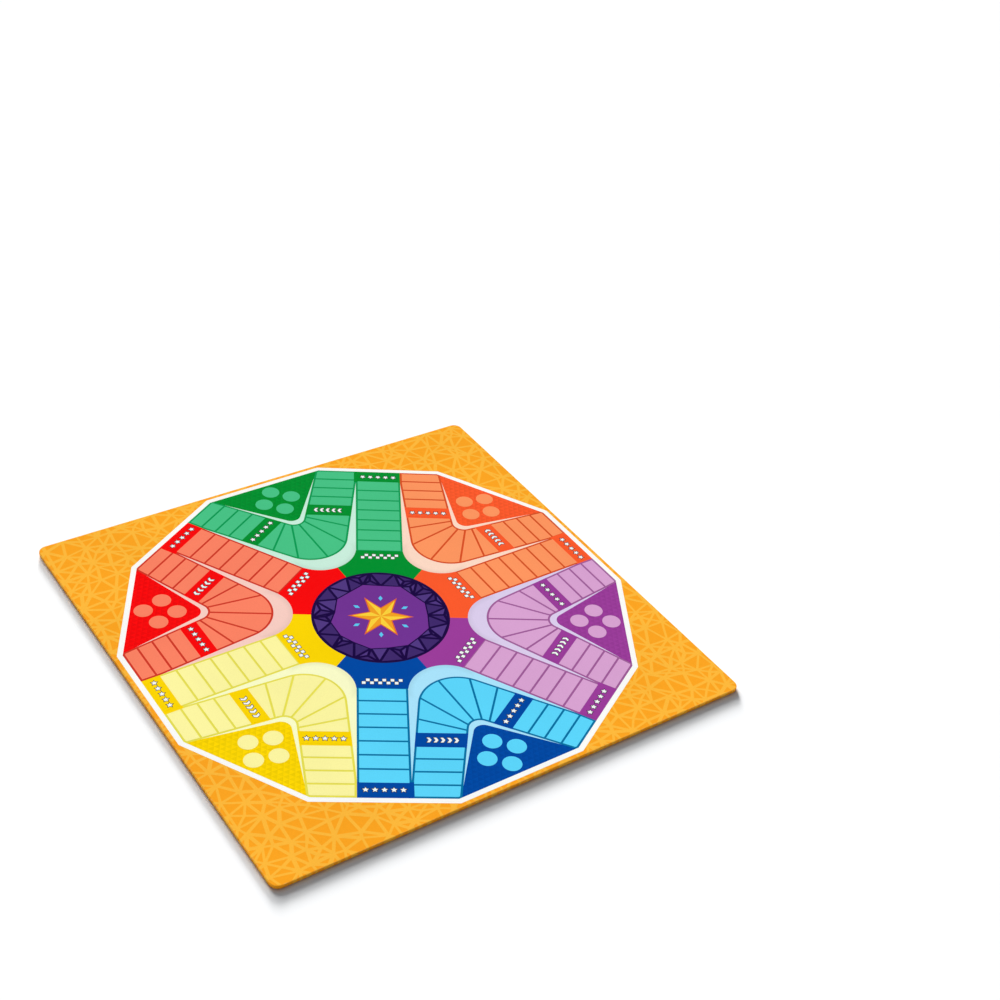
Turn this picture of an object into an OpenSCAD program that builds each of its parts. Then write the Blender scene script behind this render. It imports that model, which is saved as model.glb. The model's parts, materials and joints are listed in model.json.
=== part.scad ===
// Six-player pachisi board: a square of grey cardboard in a printed sheet that is folded over its
// edges, with a plain paper on the back. It lies on Z = 0, and +Y points to the green home.

/* [Board] */
// Side of the square board
board_side = 340; // [300:1:420]
// Thickness of the board, from the back paper to the printed face
board_t = 3; // [2:0.1:6]
// Corner radius, seen from above
corner_r = 6; // [2:0.5:12]
// Rounding of the folded edges
edge_r = 0.6; // [0.4:0.05:0.9]

/* [Papers] */
// Thickness of the printed sheet
wrap_t = 0.25; // [0.15:0.01:0.35]
// Width of the sheet that is turned in under the rim
turn_in = 15; // [10:1:30]
// Gap between the two flaps at a mitred corner
mitre_gap = 0.6; // [0.2:0.1:2]
// Thickness of the back paper
liner_t = 0.2; // [0.1:0.01:0.4]
// Distance from the board's edge to the back paper
liner_inset = 4; // [2:0.5:8]

/* [Print] */
// Thickness of one printed film
ink_t = 0.06; // [0.03:0.01:0.1]
// Orange margin between the board's edge and the white outline, at the middle of a side
outline_margin = 2.9; // [1:0.1:6]
// Width of the white outline
outline_w = 3.6; // [2:0.1:6]
// Width of the lines round the cells
line_w = 1.4; // [0.6:0.1:2]

/* [Straight lanes] */
// Width of a straight lane
lane_w = 32.5; // [26:0.1:40]
// Light cells in a straight lane
lane_cells = 7; // [5:1:9]
// Length of the marked cell at the outer end
end_cell_l = 11.5; // [8:0.5:14]

/* [Bent lanes] */
// Cells along each leg, with the marked one
leg_cells = 5; // [4:1:5]
// Length of one of these cells
leg_cell_l = 10.75; // [9:0.25:12]
// Angle between the lines that fan out round the bend
fan_step = 21.5; // [18:0.5:24]
// Outer radius of the bend
bend_r = 26.6; // [22:0.1:34]
// Width of the pale halo at the middle of the bend
halo_w = 12.6; // [8:0.1:18]
// Distance from the outline to the outer end of the halo
halo_end = 14; // [6:0.5:30]

/* [Homes] */
// Depth of a home, from the outline to its tip
home_depth = 45.7; // [38:0.1:52]
// Radius of the home's tip
home_tip_r = 6.8; // [4:0.1:8]
// Distance from the home's outer corner to the corner of the outline
home_inset = 2.2; // [0.5:0.1:4]
// Width of the pale band at the home's tip
band_w = 4.6; // [3:0.1:9]
// Radius of the band's tip
band_tip_r = 7.5; // [6:0.1:10]
// Distance from the outline to the outer end of the band
band_end = 7; // [2:0.5:16]
// Radius of a start spot
spot_r = 6.2; // [4:0.1:7.4]
// Distance from the middle of the four spots to each one
spot_pitch = 10.9; // [10.6:0.1:13]
// Distance from the outline to the middle of the four spots
spot_depth = 19.4; // [18.2:0.1:21]

/* [Hub] */
// Radius of the hub
hub_r = 46; // [40:0.5:52]
// Width of its dark ring
hub_ring_w = 15; // [8:0.5:22]
// Distance from the hub to the tip of a halo
hub_gap = 12; // [6:0.5:16]
// Length of a finish field, from the hub to the first cell of the straight lane
finish_l = 23.6; // [20:0.1:28]

/* [Hidden] */
$fn = 96;
players_n = 6;
sector_turn = 360 / players_n;
half_sector = sector_turn / 2;
outline_sides = 2 * players_n;
half_side = 180 / outline_sides;

// Heights
face_z = board_t;
wrap_z = liner_t;
flap_z = liner_t + wrap_t;
core_z = board_t - wrap_t;
ground_level = 0;
field_level = 1;
cell_level = 2;

// Plan sizes
window_side = board_side - 2 * turn_in;
liner_side = board_side - 2 * liner_inset;
ground_apothem = board_side / 2 - outline_margin;
apothem = ground_apothem - outline_w;

// Distances from the centre: homes are set in from the outline and halos out from the hub, and the
// bent lanes fill what lies between
home_tip = apothem - home_depth;
band_tip = home_tip - band_w;
halo_tip = hub_r + hub_gap;
bend_tip = halo_tip + halo_w;
hub_disc_r = hub_r - hub_ring_w;
lane_start = hub_r + finish_l;
lane_cell_l = (apothem - end_cell_l - lane_start) / lane_cells;
leg_start = apothem - leg_cells * leg_cell_l;

// Points and radii that the lanes share, in a sector whose home lies on +Y
lane_out = [sin(half_sector), cos(half_sector)];
lane_side = [cos(half_sector), -sin(half_sector)];
lane_corner = apothem * lane_out - lane_w / 2 * lane_side;
bend_corner = lane_corner - halo_end * lane_out;
band_corner = [apothem * tan(half_side) - home_inset, apothem];
halo_r = (halo_tip * sin(half_sector) - lane_w / 2) / (1 - sin(half_sector));
fan_pivot = [0, leg_start / cos(half_sector)];
fan_lines = [0, fan_step, 2 * fan_step, 90 - half_sector];
fan_reach = leg_start;

// Edges that bound the fields of a sector: outer corner, distance of the tip, radius of the tip
halo_edge = [lane_corner, halo_tip, halo_r];
bend_edge = [bend_corner, bend_tip, bend_r];
band_edge = [band_corner, band_tip, band_tip_r];
band_side = along(band_edge);
home_corner = band_corner - band_end / band_side.y * band_side;
home_edge = [home_corner, home_tip, home_tip_r];

// Name, turn of the sector, and full, line, light and pale ink of each player
players = [
  ["green", 0, "#008c2e", "#0e9853", "#48c184", "#cbeedb"],
  ["red", sector_turn, "#f80a0c", "#d03828", "#fb8263", "#f9cec2"],
  ["yellow", 2 * sector_turn, "#fbd404", "#e6dd4f", "#fdf5a0", "#fbfcc8"],
  ["blue", 3 * sector_turn, "#0148a0", "#0671a1", "#5cd5f9", "#aae3fa"],
  ["purple", 4 * sector_turn, "#9a3c98", "#9e5b96", "#d9a2d0", "#dccdeb"],
  ["orange", 5 * sector_turn, "#fb5a2c", "#d74f25", "#fd955f", "#fedac4"]
];
fields = ["home", "home_spots", "track_bed", "track_cells", "marked_cells", "finish", "halo"];

function node_name(player, field) = str(player[0], "_", field);
function turn(player) = player[1];
function full_ink(player) = player[2];
function line_ink(player) = player[3];
function light_ink(player) = player[4];
function pale_ink(player) = player[5];
function polar(r, angle) = [r * sin(angle), -r * cos(angle)];

// Middle of an edge's tip, and the directions square to its straight side and along it
function middle(edge) = [0, edge[1] + edge[2]];
function square_to(edge) =
  let (arm = edge[0] - middle(edge), touch = atan2(arm.y, arm.x) - acos(edge[2] / norm(arm)))
  [cos(touch), sin(touch)];
function along(edge) = [-square_to(edge).y, square_to(edge).x];

// Section through the board: a rectangle on Y = 0 with rounded corners
module slab_section(w, h, r) {
  translate([r - w / 2, 0]) square([w - 2 * r, h]);
  translate([-w / 2, r]) square([w, h - 2 * r]);
  for (x = [r - w / 2, w / 2 - r], y = [r, h - r]) translate([x, y]) circle(r);
}

// Half of a section through a round corner of the board
module corner_section(corner, h, r) {
  square([corner - r, h]);
  translate([0, r]) square([corner, h - 2 * r]);
  for (y = [r, h - r]) translate([corner - r, y]) circle(r);
}

// Square plate with round corners and rounded edges
module rounded_plate(side, corner, h, r) {
  run = side - 2 * corner;
  for (quarter = [0, 90])
    rotate([90, 0, quarter]) linear_extrude(run, center = true) slab_section(side, h, r);
  for (x = [-run / 2, run / 2], y = [-run / 2, run / 2])
    translate([x, y, 0]) rotate_extrude() corner_section(corner, h, r);
}

module core_solid() {
  translate([0, 0, flap_z])
    rounded_plate(board_side - 2 * wrap_t, corner_r - wrap_t, core_z - flap_z, edge_r - wrap_t);
  translate([0, 0, wrap_z]) linear_extrude(2 * wrap_t) square(window_side, center = true);
}

module core_board() color("#a39a8c") core_solid();

// Slits between the flaps, from the window's corners to the folded edge
module mitres() {
  inner = window_side / sqrt(2);
  outer = (board_side / 2 - corner_r) * sqrt(2) + corner_r - edge_r;
  for (i = [0:3])
    rotate(45 + 90 * i) translate([inner - mitre_gap, -mitre_gap / 2, 0])
      cube([outer - inner + mitre_gap, mitre_gap, flap_z]);
}

module face_wrap() color("#fca42a") difference() {
  translate([0, 0, wrap_z]) rounded_plate(board_side, corner_r, face_z - wrap_z, edge_r);
  core_solid();
  linear_extrude(flap_z) square(window_side, center = true);
  mitres();
}

module back_liner() color("#efeae0") linear_extrude(liner_t) square(liner_side, center = true);

// One film of print on the face
module film(level) translate([0, 0, face_z + level * ink_t]) linear_extrude(ink_t) children();

// Twelve-sided outline
module outline(distance) rotate(half_side) circle(distance / cos(half_side), $fn = outline_sides);

// Wedge with a rounded tip toward the centre, whose straight sides touch the tip's circle
module wedge(edge, grow = 0) {
  r = edge[2] + grow;
  near = middle(edge) + r * square_to(edge);
  far = edge[0] + grow * square_to(edge) + apothem * along(edge);
  translate(middle(edge)) circle(r);
  polygon([near, far, [-far.x, far.y], [-near.x, near.y]]);
}

// Wedge kept inside the outline and clear of the straight lanes
module field(edge, inset = 0) intersection() {
  wedge(edge, -inset);
  wedge(halo_edge, -inset);
  outline(apothem - inset);
}

// Field between two wedges
module between(outer_edge, inner_edge, inset = 0) difference() {
  field(outer_edge, inset);
  wedge(inner_edge, inset);
}

// Rectangle across a straight lane, between two distances from the centre
module lane_strip(from, to, w) rotate(-half_sector) translate([-w / 2, from]) square([w, to - from]);

// Strip across one leg of the bent lane
module leg_strip(place) {
  to = apothem - place * leg_cell_l - line_w / 2;
  reach = fan_pivot.y * sin(half_sector);
  rotate(-half_sector) translate([-reach, to - leg_cell_l + line_w])
    square([reach, leg_cell_l - line_w]);
}

// Triangle between two lines that fan out round the bend, less half a line on each side
module fan_gap(place) {
  from = fan_lines[place];
  to = fan_lines[place + 1];
  tip = fan_pivot + polar(line_w / 2 / sin((to - from) / 2), (from + to) / 2);
  polygon([tip, tip + polar(fan_reach, from), tip + polar(fan_reach, to)]);
}

module both_sides() for (side = [0, 1]) mirror([side, 0]) children();

module in_sector(player) rotate(turn(player)) children();

module track_ground() color("#f8fcfa") film(ground_level) outline(ground_apothem);

module hub_ring() color("#32205c") film(field_level) difference() {
  circle(hub_r);
  circle(hub_disc_r);
}

module hub_disc() color("#703390") film(field_level) circle(hub_disc_r);

module home(player) color(full_ink(player)) in_sector(player) film(field_level) intersection() {
  field(home_edge);
  wedge(band_edge);
}

module home_spots(player) color(light_ink(player)) in_sector(player) film(cell_level)
  translate([0, apothem - spot_depth])
    for (i = [0:3]) rotate(90 * i) translate([spot_pitch, 0]) circle(spot_r);

module track_bed(player) color(line_ink(player)) in_sector(player) film(field_level) {
  between(bend_edge, band_edge);
  lane_strip(lane_start, apothem, lane_w);
}

module track_cells(player) color(light_ink(player)) in_sector(player) film(cell_level) {
  intersection() {
    between(bend_edge, band_edge, line_w);
    both_sides() {
      for (place = [0:leg_cells - 2]) leg_strip(place);
      for (place = [0:len(fan_lines) - 2]) fan_gap(place);
    }
  }
  for (i = [0:lane_cells - 1])
    lane_strip(lane_start + i * lane_cell_l + line_w / 2,
      lane_start + (i + 1) * lane_cell_l - line_w / 2, lane_w - 2 * line_w);
}

module marked_cells(player) color(full_ink(player)) in_sector(player) film(cell_level) {
  intersection() {
    between(bend_edge, band_edge, line_w);
    both_sides() leg_strip(leg_cells - 1);
  }
  lane_strip(apothem - end_cell_l + line_w / 2, apothem - line_w, lane_w - 2 * line_w);
}

module finish(player) color(full_ink(player)) in_sector(player) film(field_level) difference() {
  rotate(-half_sector)
    polygon([[0, 0], for (side = [1, -1]) [side * lane_start * tan(half_sector), lane_start]]);
  wedge(halo_edge);
  rotate(-sector_turn) wedge(halo_edge);
  circle(hub_r);
}

module halo(player) color(pale_ink(player)) in_sector(player) film(field_level) {
  between(halo_edge, bend_edge);
  between(band_edge, home_edge);
}

core_board();
face_wrap();
back_liner();
track_ground();
hub_ring();
hub_disc();
for (player = players) {
  home(player);
  home_spots(player);
  track_bed(player);
  track_cells(player);
  marked_cells(player);
  finish(player);
  halo(player);
}
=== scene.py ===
import json
import math

import bmesh
import bpy
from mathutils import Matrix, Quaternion, Vector

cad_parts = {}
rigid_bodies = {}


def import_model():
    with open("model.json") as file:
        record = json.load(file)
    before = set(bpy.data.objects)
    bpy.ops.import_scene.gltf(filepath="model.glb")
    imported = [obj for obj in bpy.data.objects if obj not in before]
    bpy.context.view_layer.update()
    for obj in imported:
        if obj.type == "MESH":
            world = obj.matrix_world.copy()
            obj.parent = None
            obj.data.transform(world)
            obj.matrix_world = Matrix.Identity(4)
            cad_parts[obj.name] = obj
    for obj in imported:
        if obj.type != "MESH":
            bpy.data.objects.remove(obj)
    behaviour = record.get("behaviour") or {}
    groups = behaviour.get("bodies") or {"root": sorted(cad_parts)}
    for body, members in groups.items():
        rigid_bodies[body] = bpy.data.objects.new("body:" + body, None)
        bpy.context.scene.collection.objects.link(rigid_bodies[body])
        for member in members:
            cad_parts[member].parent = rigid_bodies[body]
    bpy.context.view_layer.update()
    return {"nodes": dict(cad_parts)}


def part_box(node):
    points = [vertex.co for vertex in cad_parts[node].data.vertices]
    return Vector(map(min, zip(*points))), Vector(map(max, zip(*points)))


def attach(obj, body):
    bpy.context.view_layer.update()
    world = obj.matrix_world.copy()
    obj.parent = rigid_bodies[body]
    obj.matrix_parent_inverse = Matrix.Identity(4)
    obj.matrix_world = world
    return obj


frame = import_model()
print("frame loaded:", len(frame["nodes"]), "nodes")

mm = 0.001

# sizes come from the frame, apart from the radii of the fold and the corner
sheetLow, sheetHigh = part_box("face_wrap")
board = {
    "half": sheetHigh.x,
    "faceZ": sheetHigh.z,
    "flapZ": sheetLow.z,
    "foldR": 0.6 * mm,
    "cornerR": 6 * mm,
    "linerHalf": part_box("back_liner")[1].x,
    "outlineApothem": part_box("track_ground")[1].x,
    "fieldTop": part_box("hub_disc")[1].z,
    "cellTop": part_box("green_marked_cells")[1].z,
    "hubR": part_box("hub_ring")[1].x,
}

# each player's turn round the board, and their full, line, light and pale ink
players = {
    "green": (0, "008c2e", "0e9853", "48c184", "cbeedb"),
    "red": (60, "f80a0c", "d03828", "fb8263", "f9cec2"),
    "yellow": (120, "fbd404", "e6dd4f", "fdf5a0", "fbfcc8"),
    "blue": (180, "0148a0", "0671a1", "5cd5f9", "aae3fa"),
    "purple": (240, "9a3c98", "9e5b96", "d9a2d0", "dccdeb"),
    "orange": (300, "fb5a2c", "d74f25", "fd955f", "fedac4"),
}


# curve from a written colour to a linear one
colourCurve = {"knee": 0.04045, "slope": 12.92, "offset": 0.055, "power": 2.4}


def outward(angle):
    turn = math.radians(angle)
    return Vector((math.cos(turn), math.sin(turn), 0))


def linear(hexColour):
    curve = colourCurve
    values = []
    for start in (0, 2, 4):
        value = int(hexColour[start:start + 2], 16) / 255
        if value < curve["knee"]:
            values.append(value / curve["slope"])
        else:
            values.append(((value + curve["offset"]) / (1 + curve["offset"])) ** curve["power"])
    return values + [1.0]


# camera
cameraView = {
    "place": (-0.4702, -0.7196, 0.7357),
    "aim": (0.1440, 0.0714, 0.003),
    "roll": 6.39,
    "lens": 61.03,
}


def addCamera():
    bpy.ops.object.camera_add(location=cameraView["place"])
    camera = bpy.context.object
    camera.name = "boardCamera"
    camera.data.lens = cameraView["lens"]
    camera.data.dof.use_dof = False
    ahead = Vector(cameraView["aim"]) - Vector(cameraView["place"])
    camera.rotation_mode = "QUATERNION"
    tilt = Quaternion((0, 0, 1), math.radians(cameraView["roll"]))
    camera.rotation_quaternion = ahead.to_track_quat("-Z", "Y") @ tilt
    bpy.context.scene.camera = camera


bpy.ops.object.select_all(action="DESELECT")
addCamera()
print("camera set")

# node helpers


def setSocket(tree, node, key, value):
    if isinstance(value, bpy.types.NodeSocket):
        tree.links.new(value, node.inputs[key])
    else:
        node.inputs[key].default_value = value


def addNode(tree, kind, sockets=None, **settings):
    node = tree.nodes.new(kind)
    for key, value in settings.items():
        setattr(node, key, value)
    for key, value in (sockets or {}).items():
        setSocket(tree, node, key, value)
    return node


def calc(tree, operation, *values):
    sockets = dict(enumerate(values))
    return addNode(tree, "ShaderNodeMath", sockets, operation=operation).outputs[0]


def mixColour(tree, factor, first, second, blend="MIX"):
    sockets = {0: factor, 6: first, 7: second}  # the colour sockets of the mix node
    node = addNode(tree, "ShaderNodeMix", sockets, data_type="RGBA", blend_type=blend)
    return node.outputs[2]


def mixValue(tree, factor, first, second):
    sockets = {0: factor, 2: first, 3: second}  # the number sockets of the mix node
    node = addNode(tree, "ShaderNodeMix", sockets, data_type="FLOAT")
    return node.outputs[0]


def ramp(tree, value, low, high, lowTo=0.0, highTo=1.0):
    sockets = {"Value": value, "From Min": low, "From Max": high, "To Min": lowTo, "To Max": highTo}
    node = addNode(tree, "ShaderNodeMapRange", sockets, interpolation_type="SMOOTHSTEP")
    return node.outputs["Result"]


def objectPlace(tree, turn=0.0):
    place = addNode(tree, "ShaderNodeTexCoord").outputs["Object"]
    if turn:
        sockets = {"Vector": place, "Rotation": (0, 0, math.radians(turn))}
        place = addNode(tree, "ShaderNodeMapping", sockets).outputs["Vector"]
    return place


def dotWith(tree, place, axis):
    node = addNode(tree, "ShaderNodeVectorMath", {0: place, 1: axis}, operation="DOT_PRODUCT")
    return node.outputs["Value"]


def noise(tree, place, scale, detail, roughness=0.5):
    sockets = {"Vector": place, "Scale": scale, "Detail": detail, "Roughness": roughness}
    return addNode(tree, "ShaderNodeTexNoise", sockets).outputs["Fac"]


# printed ink under a thin laminate: dot grain, a slow drift of tone, and a faint ripple
inkLook = {
    "noiseSpan": (0.3, 0.7),
    "dotScale": 1500,
    "dotDetail": 2.0,
    "dotDepth": 0.02,
    "driftScale": 16,
    "driftDetail": 3.0,
    "driftDepth": 0.02,
    "rippleScale": 420,
    "rippleDetail": 2.0,
    "ripple": 0.10,
    "rippleHeight": 0.02 * mm,
    "roughLow": 0.42,
    "roughHigh": 0.58,
    "specular": 0.03,
}


def newMaterial(name):
    material = bpy.data.materials.new(name)
    material.use_nodes = True
    return material, material.node_tree, material.node_tree.nodes["Principled BSDF"]


def toned(tree, colour, tone):
    shade = addNode(tree, "ShaderNodeCombineColor", {0: tone, 1: tone, 2: tone}).outputs[0]
    return mixColour(tree, 1.0, colour, shade, "MULTIPLY")


def addBump(tree, shader, height, strength, distance):
    sockets = {"Height": height, "Strength": strength, "Distance": distance}
    bump = addNode(tree, "ShaderNodeBump", sockets)
    tree.links.new(bump.outputs["Normal"], shader.inputs["Normal"])


def grained(tree, place, colour):
    dots = noise(tree, place, inkLook["dotScale"], inkLook["dotDetail"])
    drift = noise(tree, place, inkLook["driftScale"], inkLook["driftDetail"])
    span, dot, slow = inkLook["noiseSpan"], inkLook["dotDepth"], inkLook["driftDepth"]
    dotTone = ramp(tree, dots, *span, 1 - dot, 1 + dot)
    driftTone = ramp(tree, drift, *span, 1 - slow, 1 + slow)
    return toned(tree, colour, calc(tree, "MULTIPLY", dotTone, driftTone))


def laminate(tree, shader, place, colour):
    tree.links.new(grained(tree, place, colour), shader.inputs["Base Color"])
    ripple = noise(tree, place, inkLook["rippleScale"], inkLook["rippleDetail"])
    rough = ramp(tree, ripple, *inkLook["noiseSpan"], inkLook["roughLow"], inkLook["roughHigh"])
    tree.links.new(rough, shader.inputs["Roughness"])
    addBump(tree, shader, ripple, inkLook["ripple"], inkLook["rippleHeight"])
    shader.inputs["Specular IOR Level"].default_value = inkLook["specular"]


def inkMaterial(name, hexColour):
    material, tree, shader = newMaterial(name)
    laminate(tree, shader, objectPlace(tree), linear(hexColour))
    return material


# home fields carry a faint lattice of triangles in two tones
homeLook = {
    "triangle": 3.5 * mm,
    "axes": (90, 210, 330),
    "dark": 0.96,
    "light": 1.06,
    "scatter": 0.06,
}


def latticeTone(tree, place):
    steps = []
    total = 0.0
    for angle in homeLook["axes"]:
        axis = outward(angle) / homeLook["triangle"]
        step = calc(tree, "FLOOR", dotWith(tree, place, axis))
        steps.append(step)
        total = calc(tree, "ADD", step, total)
    halves = calc(tree, "FLOORED_MODULO", total, 2.0)
    cell = addNode(tree, "ShaderNodeCombineXYZ", dict(enumerate(steps))).outputs[0]
    chance = addNode(tree, "ShaderNodeTexWhiteNoise", {"Vector": cell}).outputs["Value"]
    base = ramp(tree, halves, 0.0, 1.0, homeLook["dark"], homeLook["light"])
    return calc(tree, "SUBTRACT", base, calc(tree, "MULTIPLY", chance, homeLook["scatter"]))


def homeMaterial(name, hexColour, turn):
    material, tree, shader = newMaterial(name)
    place = objectPlace(tree, -turn)
    laminate(tree, shader, place, toned(tree, linear(hexColour), latticeTone(tree, place)))
    return material


# marked rows of the player whose home lies towards +Y: one on the straight lane, and one on each
# leg of the bend
rowLook = {
    "laneAngle": 30,
    "safeAt": 157.1 * mm,
    "legAt": (26.9 * mm, 117.4 * mm),
    "halfAlong": 6.4 * mm,
    "halfAcross": 17.5 * mm,
}


def rowPlaces():
    angle = rowLook["laneAngle"]
    lane = math.radians(angle)
    legX, legY = rowLook["legAt"]
    safe = Vector((math.sin(lane), math.cos(lane), 0)) * rowLook["safeAt"]
    return {"safe": (safe, angle), "start": (Vector((legX, legY, 0)), angle),
            "legSafe": (Vector((-legX, legY, 0)), -angle)}


def rowMask(tree, place, centre, angle):
    lane = math.radians(angle)
    along = Vector((math.sin(lane), math.cos(lane), 0))
    across = Vector((math.cos(lane), -math.sin(lane), 0))
    inside = []
    for axis, half in ((along, rowLook["halfAlong"]), (across, rowLook["halfAcross"])):
        inside.append(calc(tree, "COMPARE", dotWith(tree, place, axis), centre.dot(axis), half))
    return calc(tree, "MULTIPLY", *inside)


# lanes show as lines between their cells: in line ink, and in full ink round the marked rows
def bedMaterial(name, lineColour, fullColour, turn):
    material, tree, shader = newMaterial(name)
    place = objectPlace(tree, -turn)
    marked = 0.0
    for centre, angle in rowPlaces().values():
        marked = calc(tree, "MAXIMUM", rowMask(tree, place, centre, angle), marked)
    laminate(tree, shader, place, mixColour(tree, marked, linear(lineColour), linear(fullColour)))
    return material


# pale halos darken softly towards the outer edge of their round tip
haloLook = {
    "tipY": 83.5 * mm,
    "tipR": 25.5 * mm,
    "halfAngle": 30,
    "reach": 5 * mm,
    "fade": 9 * mm,
    "shade": 0.90,
}


def haloMaterial(name, hexColour, turn):
    material, tree, shader = newMaterial(name)
    place = objectPlace(tree, -turn)
    axes = addNode(tree, "ShaderNodeSeparateXYZ", {0: place}).outputs
    across = calc(tree, "ABSOLUTE", axes["X"])
    out = calc(tree, "SUBTRACT", axes["Y"], haloLook["tipY"])
    cosA = math.cos(math.radians(haloLook["halfAngle"]))
    sinA = math.sin(math.radians(haloLook["halfAngle"]))
    fromSide = calc(
        tree, "SUBTRACT", calc(tree, "MULTIPLY", across, cosA), calc(tree, "MULTIPLY", out, sinA))
    along = calc(
        tree, "ADD", calc(tree, "MULTIPLY", across, sinA), calc(tree, "MULTIPLY", out, cosA))
    square = calc(
        tree, "ADD", calc(tree, "MULTIPLY", across, across), calc(tree, "MULTIPLY", out, out))
    fromTip = calc(tree, "SQRT", square)
    beside = calc(tree, "GREATER_THAN", along, 0.0)
    distance = mixValue(tree, beside, fromTip, fromSide)
    depth = calc(tree, "SUBTRACT", haloLook["tipR"], distance)
    inward = ramp(tree, depth, 0.0, haloLook["reach"])
    pastTip = ramp(tree, along, 0.0, haloLook["fade"])
    light = calc(tree, "MAXIMUM", inward, pastTip)
    pale = linear(hexColour)
    shaded = [c * haloLook["shade"] for c in pale[:3]] + [1.0]
    laminate(tree, shader, place, mixColour(tree, light, shaded, pale))
    return material


# the ring shows as disc ink inside the jagged edge of the shards, and as dark ink at the rim
ringLook = {"disc": "703390", "dark": "1c083e", "discReach": 38 * mm}


def ringMaterial(name):
    material, tree, shader = newMaterial(name)
    place = objectPlace(tree)
    reach = addNode(tree, "ShaderNodeVectorMath", {0: place}, operation="LENGTH").outputs["Value"]
    atRim = calc(tree, "GREATER_THAN", reach, ringLook["discReach"])
    colour = mixColour(tree, atRim, linear(ringLook["disc"]), linear(ringLook["dark"]))
    laminate(tree, shader, place, colour)
    return material


# the orange sheet is rubbed paler along its folds
sheetLook = {
    "colour": "fca422",
    "worn": "fdc878",
    "wearFrom": board["half"] - 0.9 * mm,
    "wearTo": board["half"] - 0.1 * mm,
    "wearTop": board["faceZ"] - 0.1 * mm,
    "wearScale": 300,
    "wearDetail": 3.0,
    "wearSpan": (0.4, 0.65),
    "wear": 0.5,
}


def sheetMaterial(name):
    material, tree, shader = newMaterial(name)
    place = objectPlace(tree)
    axes = addNode(tree, "ShaderNodeSeparateXYZ", {0: place}).outputs
    reach = calc(
        tree, "MAXIMUM", calc(tree, "ABSOLUTE", axes["X"]), calc(tree, "ABSOLUTE", axes["Y"]))
    edge = ramp(tree, reach, sheetLook["wearFrom"], sheetLook["wearTo"])
    top = ramp(tree, axes["Z"], board["faceZ"] - board["foldR"], sheetLook["wearTop"])
    specks = noise(tree, place, sheetLook["wearScale"], sheetLook["wearDetail"])
    patches = ramp(tree, specks, *sheetLook["wearSpan"])
    rubbed = calc(tree, "MULTIPLY", calc(tree, "MULTIPLY", edge, top), patches)
    factor = calc(tree, "MULTIPLY", rubbed, sheetLook["wear"])
    colour = mixColour(tree, factor, linear(sheetLook["colour"]), linear(sheetLook["worn"]))
    laminate(tree, shader, place, colour)
    return material


# uncoated papers: fibres, clouds and a felt-like bump
paperLook = {
    "back": {"light": "f1ece2", "dark": "e2dacb", "scale": 700, "height": 0.06 * mm},
    "core": {"light": "a39a8c", "dark": "857b6d", "scale": 420, "height": 0.12 * mm},
    "toneSpan": (0.35, 0.65),
    "roughness": 0.9,
    "specular": 0.1,
    "fibreStretch": (1.0, 5.0, 1.0),
    "fibreDetail": 4.0,
    "fibreRough": 0.6,
    "cloudScale": 30,
    "cloudDetail": 3.0,
    "cloudShare": 0.15,
    "bump": 0.3,
}


def paperMaterial(name, kind):
    paper = paperLook[kind]
    material, tree, shader = newMaterial(name)
    place = objectPlace(tree)
    sockets = {"Vector": place, "Scale": paperLook["fibreStretch"]}
    stretched = addNode(tree, "ShaderNodeMapping", sockets).outputs["Vector"]
    fibres = noise(
        tree, stretched, paper["scale"], paperLook["fibreDetail"], paperLook["fibreRough"])
    clouds = noise(tree, place, paperLook["cloudScale"], paperLook["cloudDetail"])
    mixed = mixValue(tree, paperLook["cloudShare"], fibres, clouds)
    tone = ramp(tree, mixed, *paperLook["toneSpan"])
    colour = mixColour(tree, tone, linear(paper["dark"]), linear(paper["light"]))
    tree.links.new(colour, shader.inputs["Base Color"])
    addBump(tree, shader, fibres, paperLook["bump"], paper["height"])
    shader.inputs["Roughness"].default_value = paperLook["roughness"]
    shader.inputs["Specular IOR Level"].default_value = paperLook["specular"]
    return material


def dress(node, material):
    slots = frame["nodes"][node].data.materials
    slots.clear()
    slots.append(material)


groundColour = "fcfbf7"
dress("face_wrap", sheetMaterial("orangeSheet"))
dress("core_board", paperMaterial("greyboard", "core"))
dress("back_liner", paperMaterial("backPaper", "back"))
dress("track_ground", inkMaterial("whiteInk", groundColour))
dress("hub_ring", ringMaterial("hubRingInk"))
dress("hub_disc", inkMaterial("hubDiscInk", ringLook["disc"]))
for player, (turn, full, line, light, pale) in players.items():
    fullInk = inkMaterial(player + "Full", full)
    lightInk = inkMaterial(player + "Light", light)
    dress(player + "_home", homeMaterial(player + "Home", full, turn))
    dress(player + "_marked_cells", fullInk)
    dress(player + "_finish", fullInk)
    dress(player + "_track_bed", bedMaterial(player + "Line", line, full, turn))
    dress(player + "_track_cells", lightInk)
    dress(player + "_home_spots", lightInk)
    dress(player + "_halo", haloMaterial(player + "Pale", pale, turn))
print("inks and papers made")

# modelling helpers


def startEdit(name):
    piece = bpy.context.object
    piece.name = name
    piece.data.name = name
    bpy.ops.object.transform_apply(location=True, rotation=True, scale=True)
    bpy.ops.object.mode_set(mode="EDIT")
    return piece


def pick(kind, test):
    bpy.ops.mesh.select_mode(type=kind)
    bpy.ops.mesh.select_all(action="DESELECT")
    mesh = bpy.context.object.data
    edited = bmesh.from_edit_mesh(mesh)
    items = {"VERT": edited.verts, "EDGE": edited.edges, "FACE": edited.faces}[kind]
    found = [item for item in items if test(item)]
    for item in found:
        item.select_set(True)
    edited.select_flush_mode()
    bmesh.update_edit_mesh(mesh)
    return len(found)


def middle(item):
    if isinstance(item, bmesh.types.BMEdge):
        return (item.verts[0].co + item.verts[1].co) / 2
    return item.calc_center_median()


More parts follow.
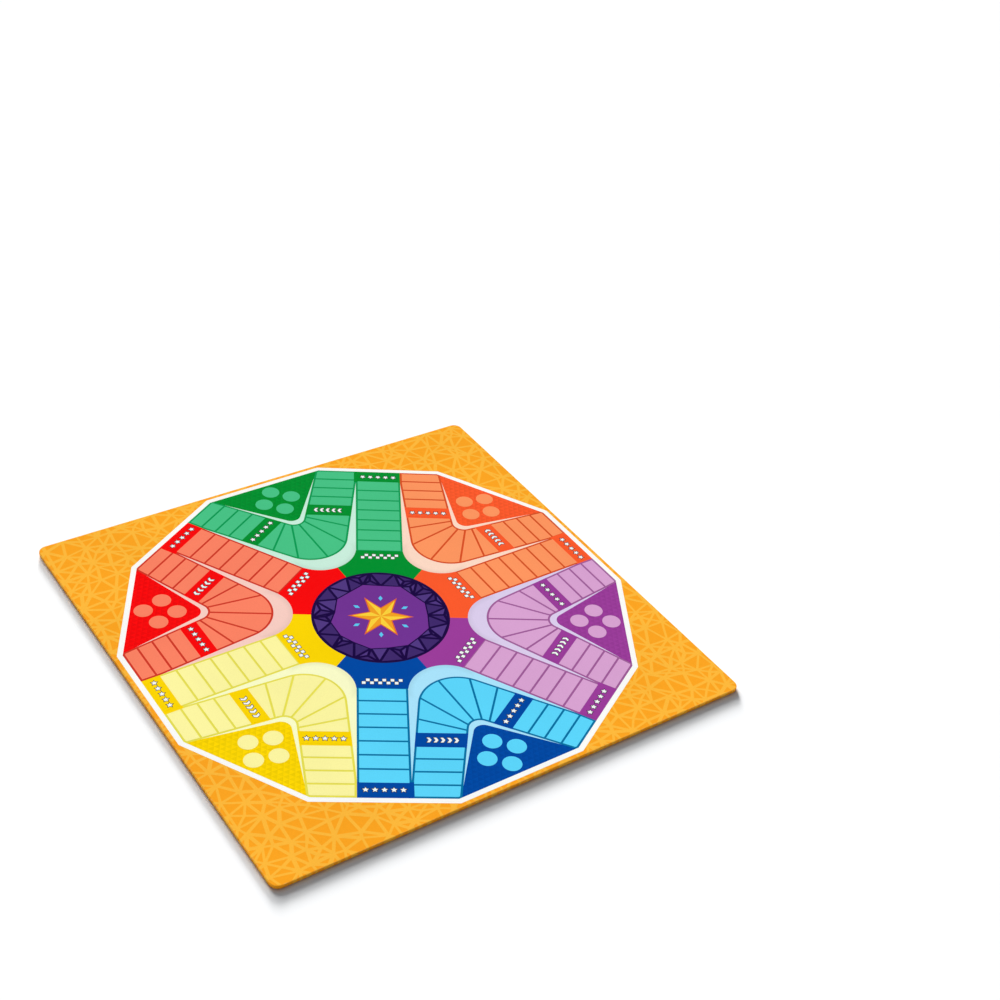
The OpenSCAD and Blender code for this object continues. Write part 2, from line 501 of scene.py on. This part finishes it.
def addInks(piece, prefix, inks):
    for i, colour in enumerate(inks.values()):
        piece.data.materials.append(inkMaterial(prefix + str(i), colour))


def paint(inks, name):
    bpy.context.object.active_material_index = list(inks).index(name)
    bpy.ops.object.material_slot_assign()


def faceUp():
    if pick("FACE", lambda face: face.normal.z < 0):
        bpy.ops.mesh.flip_normals()
    bpy.ops.mesh.select_all(action="SELECT")


def thicken(piece, film):
    bpy.ops.object.mode_set(mode="OBJECT")
    shell = piece.modifiers.new("film", "SOLIDIFY")
    shell.thickness = film
    shell.offset = 1.0
    bpy.ops.object.modifier_apply(modifier=shell.name)


def keep(piece):
    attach(piece, "root")
    bpy.ops.object.select_all(action="DESELECT")
    print("made", piece.name, len(piece.data.polygons), "faces")


# light lines on the orange sheet: frames of loose triangles, cut to the border and taken over
# the folds
borderLook = {
    "size": 376 * mm,
    "cells": 33,
    "shake": 4.6 * mm,
    "shakeEven": 0.6,
    "shakeSeed": 4,
    "pokeShare": 0.22,
    "pokeSeed": 11,
    "wideShare": 0.45,
    "wideSeed": 5,
    "wideHalf": 1.3 * mm,
    "thinHalf": 0.8 * mm,
    "slimmest": 1.4,
    "film": 0.03 * mm,
    "sideReach": 0.92,
    "cornerCuts": (15, 45, 75),
    "cornerReach": 10 * mm,
    "foldReach": 30 * mm,
    "foldSteps": 4,
    "snap": 0.001 * mm,
    "colour": "fdb83c",
}


def insetTriangles(half, test):
    def roomy(face):
        inradius = 2 * face.calc_area() / face.calc_perimeter()
        return len(face.verts) == 3 and inradius > borderLook["slimmest"] * half and test(face)

    pick("FACE", roomy)
    bpy.ops.mesh.inset(thickness=half, depth=0, use_individual=True)
    bpy.ops.mesh.delete(type="FACE")


def cutToOutline():
    sides = [outward(angle) for angle in range(0, 360, 30)]
    apothem = board["outlineApothem"]
    reach = borderLook["sideReach"]
    for side in sides:
        pick("FACE", lambda face: middle(face).xy.normalized().dot(side.xy) > reach)
        bpy.ops.mesh.bisect(plane_co=side * apothem, plane_no=side)
    pick("FACE", lambda face: max(middle(face).dot(side) for side in sides) < apothem)
    bpy.ops.mesh.delete(type="FACE")


def cutToFlat():
    flat = board["half"] - board["foldR"]
    run = board["half"] - board["cornerR"]
    arc = board["cornerR"] - board["foldR"]
    reach = borderLook["cornerReach"]
    for turn in range(0, 360, 90):
        side = outward(turn)
        bpy.ops.mesh.select_all(action="SELECT")
        bpy.ops.mesh.bisect(plane_co=side * flat, plane_no=side, clear_outer=True)
    for signX in (1, -1):
        for signY in (1, -1):
            heart = Vector((signX * run, signY * run, 0))
            for angle in borderLook["cornerCuts"]:
                away = outward(angle) * Vector((signX, signY, 0))
                pick("FACE", lambda face: (middle(face) - heart).dot(away) > -reach)
                bpy.ops.mesh.bisect(plane_co=heart + away * arc, plane_no=away, clear_outer=True)


def foldOver():
    flat = board["half"] - board["foldR"]
    run = board["half"] - board["cornerR"]
    wall = board["faceZ"] - board["flapZ"] - 2 * board["foldR"]
    under = flat - board["linerHalf"]
    steps = borderLook["foldSteps"]
    quarter = math.pi / 2 / steps
    bend = [
        (board["foldR"] * (math.sin(quarter * (i + 1)) - math.sin(quarter * i)),
         board["foldR"] * (math.cos(quarter * (i + 1)) - math.cos(quarter * i)))
        for i in range(steps)
    ]
    back = [(-out, down) for out, down in reversed(bend)]
    path = bend + [(0, -wall)] + back + [(-under, 0)]
    for turn in range(0, 360, 90):
        side = outward(turn)
        across = Vector((-side.y, side.x, 0))
        for signRun in (run, -run):
            pick("FACE", lambda face: middle(face).dot(side) > flat - borderLook["foldReach"])
            bpy.ops.mesh.bisect(plane_co=across * signRun, plane_no=across)
        pick("EDGE", lambda edge: edge.is_boundary and abs(middle(edge).dot(across)) < run
             and all(abs(vert.co.dot(side) - flat) < borderLook["snap"] for vert in edge.verts))
        for out, down in path:
            move = side * out + Vector((0, 0, down))
            bpy.ops.mesh.extrude_edges_move(TRANSFORM_OT_translate={"value": move})


def makeBorderLines():
    bpy.ops.mesh.primitive_grid_add(
        x_subdivisions=borderLook["cells"], y_subdivisions=borderLook["cells"],
        size=borderLook["size"], location=(0, 0, board["faceZ"]))
    piece = startEdit("borderLines")
    bpy.ops.mesh.select_all(action="SELECT")
    bpy.ops.transform.vertex_random(
        offset=borderLook["shake"], uniform=borderLook["shakeEven"], normal=0.0,
        seed=borderLook["shakeSeed"])
    bpy.ops.transform.resize(value=(1, 1, 0), center_override=(0, 0, board["faceZ"]))
    bpy.ops.mesh.select_mode(type="FACE")
    bpy.ops.mesh.select_all(action="DESELECT")
    bpy.ops.mesh.select_random(ratio=borderLook["pokeShare"], seed=borderLook["pokeSeed"])
    bpy.ops.mesh.poke()
    bpy.ops.mesh.select_all(action="SELECT")
    bpy.ops.mesh.quads_convert_to_tris(quad_method="SHORTEST_DIAGONAL")
    bpy.ops.mesh.select_all(action="DESELECT")
    bpy.ops.mesh.select_random(ratio=borderLook["wideShare"], seed=borderLook["wideSeed"])
    edited = bmesh.from_edit_mesh(piece.data)
    wide = {face.index for face in edited.faces if face.select}
    insetTriangles(borderLook["wideHalf"], lambda face: face.index in wide)
    insetTriangles(borderLook["thinHalf"], lambda face: True)
    cutToOutline()
    cutToFlat()
    faceUp()
    foldOver()
    bpy.ops.mesh.select_all(action="SELECT")
    bpy.ops.mesh.dissolve_degenerate(threshold=borderLook["snap"])
    thicken(piece, borderLook["film"])
    piece.data.materials.append(inkMaterial("borderLine", borderLook["colour"]))
    keep(piece)


makeBorderLines()

# shards of two purples round the hub, with dark gaps and a jagged inner edge
shardLook = {
    "count": 17,
    "rim": 0.5 * mm,
    "rimReach": 1 * mm,
    "inner": 33.2 * mm,
    "innerReach": 2 * mm,
    "jag": 0.93,
    "splitShare": 0.4,
    "splitSeed": 9,
    "shake": 1.6 * mm,
    "shakeEven": 0.5,
    "seed": 7,
    "gap": 0.9 * mm,
    "raise": 0.01 * mm,
    "film": 0.02 * mm,
    "paleShare": 0.4,
    "paleSeed": 1,
    "inks": {"gap": "16023c", "shard": "3e2868", "paleShard": "50387e"},
}


def makeHubShards():
    level = board["fieldTop"]
    outer = board["hubR"] - shardLook["rim"]
    step = 2 * math.pi / shardLook["count"]
    # the ring is a flat open cone, whose faces come in a fixed order for the random picks
    bpy.ops.mesh.primitive_cone_add(
        vertices=shardLook["count"], radius1=outer, radius2=shardLook["inner"], depth=0,
        end_fill_type="NOTHING", location=(0, 0, level))
    piece = startEdit("hubShards")
    addInks(piece, "hubShard", shardLook["inks"])
    midway = (outer + shardLook["inner"]) / 2
    pick("VERT", lambda vert: vert.co.xy.length < midway)
    bpy.ops.transform.rotate(value=step / 2, orient_axis="Z", center_override=(0, 0, level))
    bpy.ops.mesh.select_all(action="SELECT")
    bpy.ops.mesh.quads_convert_to_tris(quad_method="SHORTEST_DIAGONAL")
    bpy.ops.mesh.select_mode(type="FACE")
    bpy.ops.mesh.select_all(action="DESELECT")
    bpy.ops.mesh.select_random(ratio=shardLook["splitShare"], seed=shardLook["splitSeed"])
    bpy.ops.mesh.poke()
    pick("VERT", lambda vert: vert.co.xy.length < outer - shardLook["rimReach"])
    bpy.ops.transform.vertex_random(
        offset=shardLook["shake"], uniform=shardLook["shakeEven"], seed=shardLook["seed"])
    jagged = shardLook["inner"] + shardLook["innerReach"]
    pick("VERT", lambda vert: vert.co.xy.length < jagged
         and math.atan2(vert.co.y, vert.co.x) % (2 * step) < step)
    bpy.ops.transform.resize(
        value=(shardLook["jag"], shardLook["jag"], 1), center_override=(0, 0, level))
    bpy.ops.mesh.select_all(action="SELECT")
    bpy.ops.transform.resize(value=(1, 1, 0), center_override=(0, 0, level))
    faceUp()
    bpy.ops.mesh.inset(thickness=shardLook["gap"], depth=shardLook["raise"], use_individual=True)
    paint(shardLook["inks"], "shard")
    bpy.ops.mesh.select_random(
        ratio=1 - shardLook["paleShare"], seed=shardLook["paleSeed"], action="DESELECT")
    paint(shardLook["inks"], "paleShard")
    thicken(piece, shardLook["film"])
    keep(piece)


makeHubShards()

# six-pointed star on the hub in two golds, with an amber rim and small blue lozenges
starLook = {
    "tip": 22 * mm,
    "waist": 0.40,
    "waistReach": 0.1,
    "rim": 0.8 * mm,
    "film": 0.02 * mm,
    "lozengeAt": 18.5 * mm,
    "lozenge": 2.6 * mm,
    "lozengeSides": 4,
    "lozengeWidth": 0.55,
    "near": 1 * mm,
    "inks": {"gold": "fbd23c", "darkGold": "f2a024", "rim": "e0642a", "lozenge": "5cc8f0"},
}


def makeHubStar():
    level = board["fieldTop"]
    points = 2 * len(players)
    bpy.ops.mesh.primitive_circle_add(
        vertices=points, radius=starLook["tip"], fill_type="TRIFAN", location=(0, 0, level))
    piece = startEdit("hubStar")
    addInks(piece, "hubStar", starLook["inks"])
    step = 2 * math.pi / len(players)

    def turnOf(place):
        return math.atan2(place.x, place.y) % step

    def atWaist(vert):
        offWaist = abs(turnOf(vert.co) - step / 2)
        return vert.co.xy.length > starLook["near"] and offWaist < starLook["waistReach"]

    pick("VERT", atWaist)
    bpy.ops.transform.resize(
        value=(starLook["waist"], starLook["waist"], 1), center_override=(0, 0, level))
    faceUp()
    pick("FACE", lambda face: turnOf(middle(face)) > step / 2)
    paint(starLook["inks"], "darkGold")
    bpy.ops.mesh.select_all(action="SELECT")
    bpy.ops.mesh.inset(thickness=starLook["rim"], depth=0)
    bpy.ops.mesh.select_all(action="INVERT")
    paint(starLook["inks"], "rim")
    for i in range(len(players)):
        angle = step * (i + 0.5)
        reach = starLook["lozengeAt"]
        place = (math.sin(angle) * reach, math.cos(angle) * reach, level)
        bpy.ops.mesh.select_all(action="DESELECT")
        bpy.ops.mesh.primitive_circle_add(
            vertices=starLook["lozengeSides"], radius=starLook["lozenge"], fill_type="NGON",
            location=place)
        bpy.ops.transform.resize(value=(starLook["lozengeWidth"], 1, 1), center_override=place)
        bpy.ops.transform.rotate(value=angle, orient_axis="Z", center_override=place)
        faceUp()
        pick("FACE", lambda face: (middle(face) - Vector(place)).length < starLook["near"])
        paint(starLook["inks"], "lozenge")
    thicken(piece, starLook["film"])
    keep(piece)


makeHubStar()

# signs: stars on the safe cells, chevrons on the start cell and a chequered strip on the finish,
# all with their feet to the rim
signLook = {
    "film": 0.02 * mm,
    "rim": 0.4 * mm,
    "starR": 2.9 * mm,
    "starPoints": 5,
    "starWaist": 0.5,
    "starCount": 5,
    "starPitch": 5.6 * mm,
    "chevron": (2.7 * mm, 4.9 * mm),
    "chevronPoint": 1.5 * mm,
    "chevronCount": 5,
    "chevronPitch": 4.2 * mm,
    "square": 3.1 * mm,
    "squareStep": 2.6 * mm,
    "squareCount": 5,
    "finishAt": 63.5 * mm,
    "feetTurn": 180,
    "inks": {"signWhite": "f6f8f6", "signDark": "2b2a30"},
}
signInks = [inkMaterial(name, colour) for name, colour in signLook["inks"].items()]


def finishSign(piece, count, pitch):
    faceUp()
    bpy.ops.mesh.inset(thickness=signLook["rim"], depth=0)
    bpy.ops.mesh.select_all(action="INVERT")
    paint(signLook["inks"], "signDark")
    bpy.ops.object.mode_set(mode="OBJECT")
    row = piece.modifiers.new("row", "ARRAY")
    row.count = count
    row.use_relative_offset = False
    row.use_constant_offset = True
    row.constant_offset_displace = (pitch, 0, 0)
    bpy.ops.object.modifier_apply(modifier=row.name)
    piece.location.x = -pitch * (count - 1) / 2
    bpy.ops.object.transform_apply(location=True, rotation=True, scale=True)
    thicken(piece, signLook["film"])
    bpy.ops.object.select_all(action="DESELECT")
    return piece


def addSignInks(piece):
    for ink in signInks:
        piece.data.materials.append(ink)


def makeSafeRow():
    points = signLook["starPoints"]
    bpy.ops.mesh.primitive_circle_add(
        vertices=2 * points, radius=signLook["starR"], fill_type="NGON")
    piece = startEdit("safeRow")
    addSignInks(piece)
    step = math.pi / points
    pick("VERT", lambda vert: round(math.atan2(vert.co.x, vert.co.y) / step) % 2 == 1)
    scale = signLook["starWaist"]
    bpy.ops.transform.resize(value=(scale, scale, 1), center_override=(0, 0, 0))
    return finishSign(piece, signLook["starCount"], signLook["starPitch"])


def makeStartRow():
    width, height = signLook["chevron"]
    bpy.ops.mesh.primitive_plane_add(size=1)
    bpy.context.object.scale = (width, height, 1)
    piece = startEdit("startRow")
    addSignInks(piece)
    bpy.ops.mesh.select_all(action="SELECT")
    bpy.ops.mesh.subdivide(number_cuts=1)
    halfway = height / 4  # between the middle row of points and the ends
    pick("VERT", lambda vert: abs(vert.co.y) < halfway)
    bpy.ops.transform.translate(value=(signLook["chevronPoint"], 0, 0))
    seam, slack = signLook["chevronPoint"] / 2, width / 8
    pick("EDGE", lambda edge: abs(middle(edge).x - seam) < slack
         and abs(edge.verts[0].co.y - edge.verts[1].co.y) > halfway)
    bpy.ops.mesh.dissolve_edges(use_verts=True)
    return finishSign(piece, signLook["chevronCount"], signLook["chevronPitch"])


def makeFinishRow():
    side, step = signLook["square"], signLook["squareStep"]
    bpy.ops.mesh.primitive_plane_add(size=side, location=(-step / 2, -step / 2, 0))
    piece = startEdit("finishRow")
    addSignInks(piece)
    bpy.ops.mesh.select_all(action="SELECT")
    bpy.ops.mesh.duplicate_move(TRANSFORM_OT_translate={"value": (step, step, 0)})
    return finishSign(piece, signLook["squareCount"], 2 * step)


def copyOf(piece, place, turn):
    twin = piece.copy()
    twin.data = piece.data.copy()
    bpy.context.collection.objects.link(twin)
    twin.location = place
    twin.rotation_euler.z = math.radians(turn)
    return twin


def joinAs(name, parts):
    bpy.ops.object.select_all(action="DESELECT")
    for part in parts:
        part.select_set(True)
    bpy.context.view_layer.objects.active = parts[0]
    bpy.ops.object.transform_apply(location=True, rotation=True, scale=True)
    if len(parts) > 1:
        bpy.ops.object.join()
    parts[0].name = name
    parts[0].data.name = name
    return parts[0]


def makeSigns():
    safeRow = makeSafeRow()
    startRow = makeStartRow()
    finishRow = makeFinishRow()
    rows = rowPlaces()
    signs = {"safe": safeRow, "start": startRow, "legSafe": safeRow}
    feet = signLook["feetTurn"]
    parts = []
    for name, sign in signs.items():
        centre, angle = rows[name]
        parts.append(copyOf(sign, (centre.x, centre.y, board["cellTop"]), feet - angle))
    safe, angle = rows["safe"]
    finish = safe.normalized() * signLook["finishAt"]
    parts.append(copyOf(finishRow, (finish.x, finish.y, board["fieldTop"]), feet - angle))
    first = joinAs("signs", parts)
    for player, inks in players.items():
        keep(joinAs(player + "Signs", [copyOf(first, (0, 0, 0), inks[0])]))
    for spare in (first, safeRow, startRow, finishRow):
        bpy.data.objects.remove(spare)


makeSigns()

# floor, lamps and world
studio = {
    "floorSize": 12,
    "floorColour": (0.97, 0.97, 0.97, 1.0),
    "worldStrength": 0.09,
    "worldColour": (0.88, 1.0, 1.12, 1.0),
    "backdropColour": (1.0, 1.0, 1.0, 1.0),
    "boardLamp": {"place": (0.2, 0.65, 1.2), "spread": 50, "power": 3.15},
    "edgeLamp": {"place": (-0.5, -0.85, 0.2), "spread": 24, "power": 0.5},
    "fillLamp": {"place": (0.2, 0.65, 1.2), "spread": 50, "power": 0.4},
    "lowLamp": {"place": (0.55, 1.22, 0.285), "spread": 11, "power": 6.46},
    "softLamp": {"place": (0.2, 1.28, 0.5), "spread": 24, "power": 3.80},
}


def seenDirectly(tree):
    rays = addNode(tree, "ShaderNodeLightPath").outputs
    seen = calc(tree, "MAXIMUM", rays["Is Camera Ray"], rays["Is Glossy Ray"])
    return calc(tree, "MAXIMUM", seen, rays["Is Transmission Ray"])


def makeFloor():
    bpy.ops.mesh.primitive_plane_add(size=studio["floorSize"], location=(0, 0, 0))
    floor = bpy.context.object
    floor.name = "floor"
    material = bpy.data.materials.new("floorPaper")
    material.use_nodes = True
    tree = material.node_tree
    tree.nodes.clear()
    matt = addNode(tree, "ShaderNodeBsdfDiffuse", {"Color": studio["floorColour"]})
    addNode(tree, "ShaderNodeOutputMaterial", {"Surface": matt.outputs[0]})
    floor.data.materials.append(material)
    return floor


# two low lamps and a weak high one light the floor alone, so that the thin board throws a wide soft
# shadow there; a high lamp, and a weak one at its near edges, light the board alone
def makeLamp(name, floor, floorState):
    look = studio[name]
    bpy.ops.object.light_add(type="SUN", location=look["place"])
    lamp = bpy.context.object
    lamp.name = name
    lamp.data.angle = math.radians(look["spread"])
    lamp.data.energy = look["power"]
    lamp.visible_glossy = False  # no glare on the laminate
    lamp.rotation_mode = "QUATERNION"
    lamp.rotation_quaternion = (-Vector(look["place"])).to_track_quat("-Z", "Y")
    lit = bpy.data.collections.new(name + "Lights")
    lit.objects.link(floor)
    lit.collection_objects[0].light_linking.link_state = floorState
    lamp.light_linking.receiver_collection = lit


def makeWorld():
    world = bpy.data.worlds.new("studioWorld")
    bpy.context.scene.world = world
    world.use_nodes = True
    tree = world.node_tree
    tree.nodes.clear()
    soft = addNode(
        tree, "ShaderNodeBackground",
        {"Color": studio["worldColour"], "Strength": studio["worldStrength"]})
    white = addNode(tree, "ShaderNodeBackground", {"Color": studio["backdropColour"]})
    sockets = {0: seenDirectly(tree), 1: soft.outputs[0], 2: white.outputs[0]}
    both = addNode(tree, "ShaderNodeMixShader", sockets)
    addNode(tree, "ShaderNodeOutputWorld", {"Surface": both.outputs[0]})


studioFloor = makeFloor()
makeLamp("boardLamp", studioFloor, "EXCLUDE")
makeLamp("edgeLamp", studioFloor, "EXCLUDE")
makeLamp("fillLamp", studioFloor, "INCLUDE")
makeLamp("lowLamp", studioFloor, "INCLUDE")
makeLamp("softLamp", studioFloor, "INCLUDE")
makeWorld()
bpy.context.scene.view_settings.view_transform = "Standard"
print("floor and light set")
